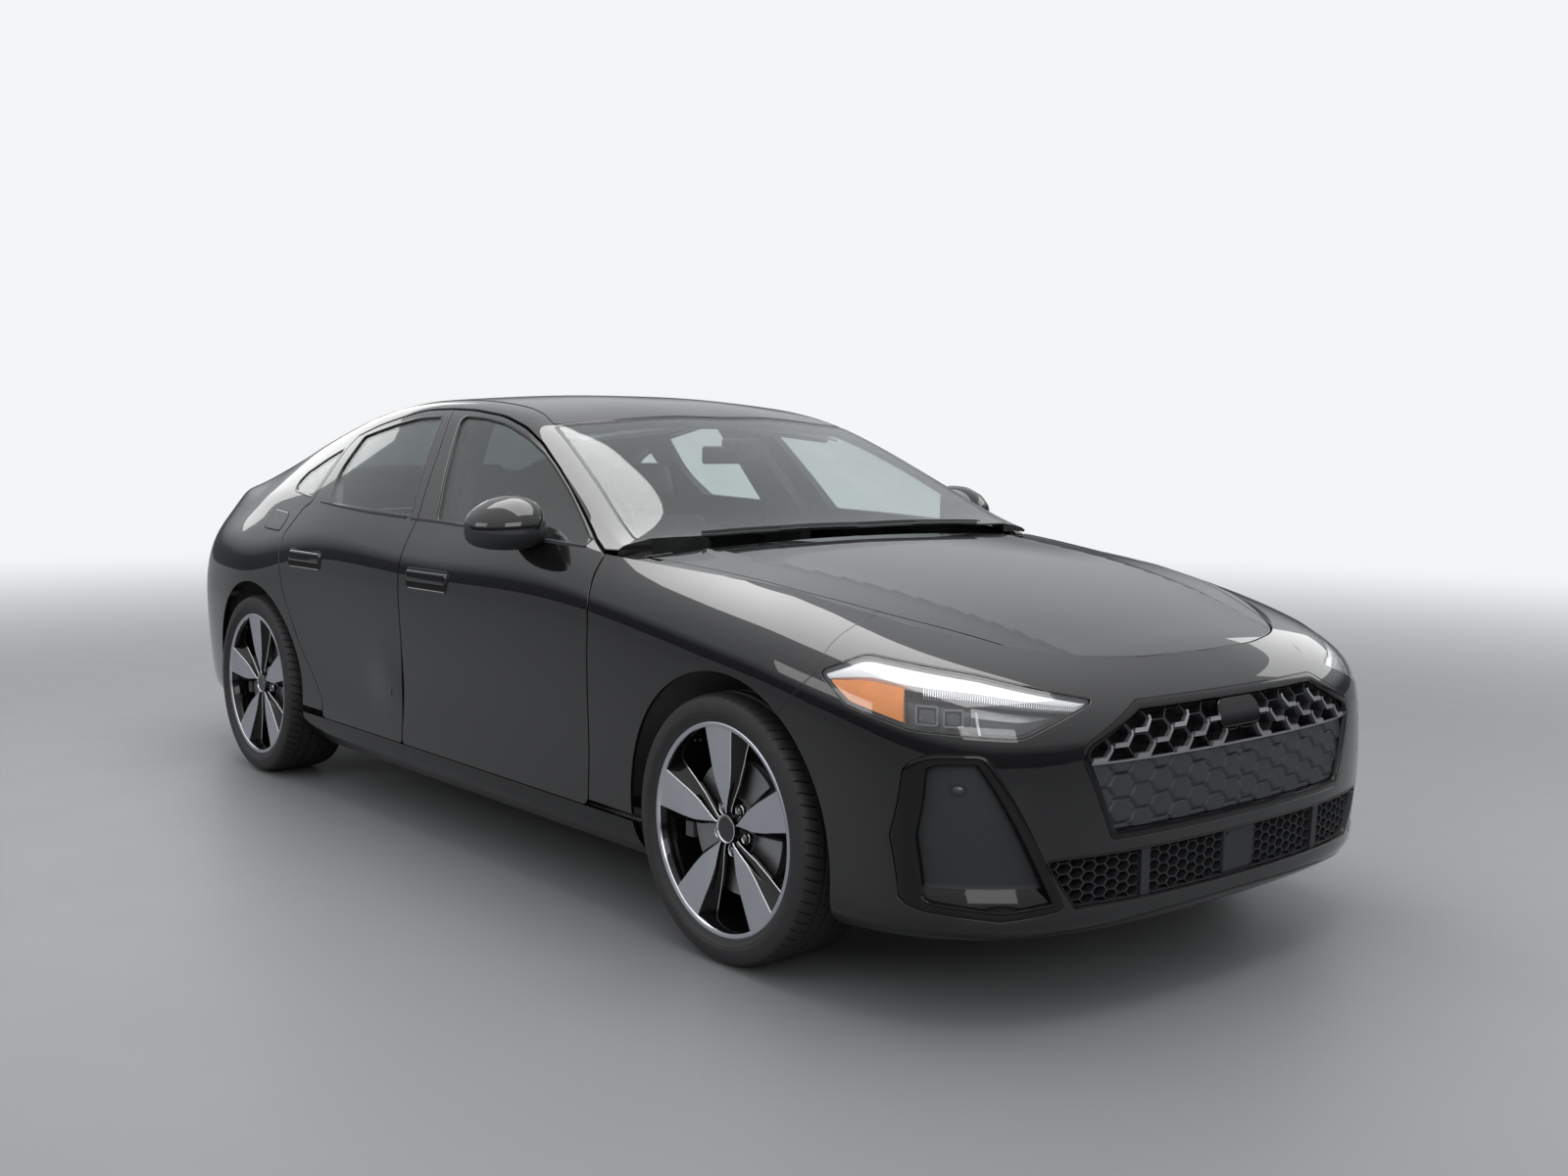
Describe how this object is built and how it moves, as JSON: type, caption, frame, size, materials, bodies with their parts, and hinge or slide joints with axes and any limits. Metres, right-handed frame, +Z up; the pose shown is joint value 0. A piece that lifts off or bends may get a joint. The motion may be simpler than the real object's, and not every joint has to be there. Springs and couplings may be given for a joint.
{
  "type": "sedan car",
  "caption": "Four-door family car with a sloping liftback tail, bonnet, hinged doors and steered front wheels.",
  "frame": {"origin": "on the ground, midway along the length and the width", "axes": "+X forward, +Y to the car's left, +Z up"},
  "size_m": [4.8262, 2.1006, 1.4378],
  "materials": {
    "structure": "matte",
    "carrier": "cast",
    "trim": "matte",
    "exhaust": "satin",
    "paint": "gloss black",
    "glass": "clear",
    "grille": "gloss",
    "plate": "satin",
    "lamp": "clear",
    "tail_lamp": "gloss",
    "engine": "cast",
    "seat": "soft",
    "rim": "machined",
    "tyre": "matte"
  },
  "bodies": {
    "body": {"platform": "structure", "front_frame": "structure", "rear_suspension": "carrier", "undertray": "trim", "exhaust": "exhaust", "cowl": "trim", "roof": "paint", "windscreen": "glass", "front_bumper": "paint", "grille": "grille", "lower_grille": "grille", "rear_bumper": "paint", "diffuser": "trim", "number_plate": "plate", "posts": "structure", "side_skirts": "paint", "wheel_liners": "trim", "headlamps": "lamp", "tail_lamps": "tail_lamp", "quarter_windows": "glass", "body_sides": "paint", "fenders": "paint", "engine": "engine", "front_seats": "seat", "rear_seat": "seat", "dashboard": "trim", "steering_wheel": "trim"},
    "bonnet": {"bonnet": "paint"},
    "tailgate": {"tailgate": "paint", "rear_window": "glass", "tailgate_lamp": "tail_lamp"},
    "front_door_left": {"front_door_left": "paint", "front_door_glass_left": "glass", "door_mirror_left": "paint"},
    "rear_door_left": {"rear_door_left": "paint", "rear_door_glass_left": "glass"},
    "front_carrier_left": {"front_knuckle_left": "carrier"},
    "front_wheel_left": {"rim_front_left": "rim", "tyre_front_left": "tyre"},
    "rear_wheel_left": {"rim_rear_left": "rim", "tyre_rear_left": "tyre"},
    "front_door_right": {"front_door_right": "paint", "front_door_glass_right": "glass", "door_mirror_right": "paint"},
    "rear_door_right": {"rear_door_right": "paint", "rear_door_glass_right": "glass"},
    "front_carrier_right": {"front_knuckle_right": "carrier"},
    "front_wheel_right": {"rim_front_right": "rim", "tyre_front_right": "tyre"},
    "rear_wheel_right": {"rim_rear_right": "rim", "tyre_rear_right": "tyre"}
  },
  "joints": [
    {"name": "front_door_left_hinge", "type": "hinge", "parent": "body", "child": "front_door_left", "pos_m": [0.89007, 0.88965, 0.4693], "axis": [0, 0, -1], "range_deg": [0, 65]},
    {"name": "rear_door_left_hinge", "type": "hinge", "parent": "body", "child": "rear_door_left", "pos_m": [-0.24669, 0.88965, 0.4693], "axis": [-0.0778, 0, -0.997], "range_deg": [0, 65]},
    {"name": "steering_left", "type": "hinge", "parent": "body", "child": "front_carrier_left", "pos_m": [1.5345, 0.693, 0.339], "axis": [0, 0, 1], "range_deg": [-35, 35]},
    {"name": "front_wheel_left_spin", "type": "hinge", "parent": "front_carrier_left", "child": "front_wheel_left", "pos_m": [1.5345, 0.798, 0.339], "axis": [0, 1, 0], "continuous": true},
    {"name": "rear_wheel_left_spin", "type": "hinge", "parent": "body", "child": "rear_wheel_left", "pos_m": [-1.3575, 0.798, 0.339], "axis": [0, 1, 0], "continuous": true},
    {"name": "front_door_right_hinge", "type": "hinge", "parent": "body", "child": "front_door_right", "pos_m": [0.89007, -0.88965, 0.4693], "axis": [0, 0, 1], "range_deg": [0, 65]},
    {"name": "rear_door_right_hinge", "type": "hinge", "parent": "body", "child": "rear_door_right", "pos_m": [-0.24669, -0.88965, 0.4693], "axis": [0.0778, 0, 0.997], "range_deg": [0, 65]},
    {"name": "steering_right", "type": "hinge", "parent": "body", "child": "front_carrier_right", "pos_m": [1.5345, -0.693, 0.339], "axis": [0, 0, 1], "range_deg": [-35, 35]},
    {"name": "front_wheel_right_spin", "type": "hinge", "parent": "front_carrier_right", "child": "front_wheel_right", "pos_m": [1.5345, -0.798, 0.339], "axis": [0, 1, 0], "continuous": true},
    {"name": "rear_wheel_right_spin", "type": "hinge", "parent": "body", "child": "rear_wheel_right", "pos_m": [-1.3575, -0.798, 0.339], "axis": [0, 1, 0], "continuous": true},
    {"name": "bonnet_hinge", "type": "hinge", "parent": "body", "child": "bonnet", "pos_m": [1.0765, 0, 0.95533], "axis": [0, -1, 0], "range_deg": [0, 45]},
    {"name": "tailgate_hinge", "type": "hinge", "parent": "body", "child": "tailgate", "pos_m": [-0.93258, 0, 1.39217], "axis": [0, 1, 0], "range_deg": [0, 70]}
  ],
  "couplings": [
    {"joint": "steering_right", "follows": "steering_left", "ratio": 1}
  ]
}
